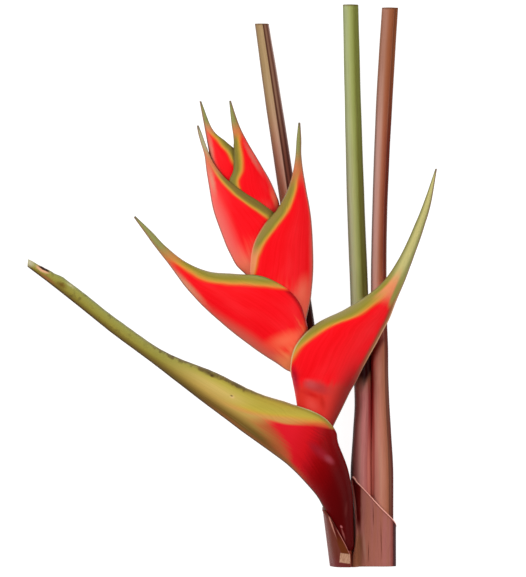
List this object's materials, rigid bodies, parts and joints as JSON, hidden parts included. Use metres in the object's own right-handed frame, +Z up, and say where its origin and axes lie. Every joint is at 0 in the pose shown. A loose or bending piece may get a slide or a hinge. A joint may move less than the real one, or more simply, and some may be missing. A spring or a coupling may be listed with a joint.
{
  "type": "heliconia flower",
  "caption": "Cut heliconia flower head of nested boat shaped red bracts edged with green, on its stalk, with long leaf stalks and sheaths, lying on its back.",
  "frame": {"origin": "the middle of the part's footprint on the surface that it lies on", "axes": "+X across the shoot, +Y from the cut foot towards the tips, +Z up from the surface, the side that the picture shows"},
  "size_m": [0.2877, 0.395, 0.0468],
  "materials": {
    "stalk": "satin",
    "bract_low": "satin",
    "bract": "satin",
    "petiole_left": "satin",
    "petiole_centre": "satin",
    "petiole_right": "satin",
    "sheath": "satin"
  },
  "bodies": {
    "root": {"stalk": "stalk", "bract_1": "bract_low", "bract_2": "bract", "bract_3": "bract", "bract_4": "bract", "bract_5": "bract", "bract_6": "bract", "bract_7": "bract", "petiole_left": "petiole_left", "petiole_centre": "petiole_centre", "petiole_right": "petiole_right", "sheath_left": "sheath", "sheath_right": "sheath"}
  },
  "joints": []
}
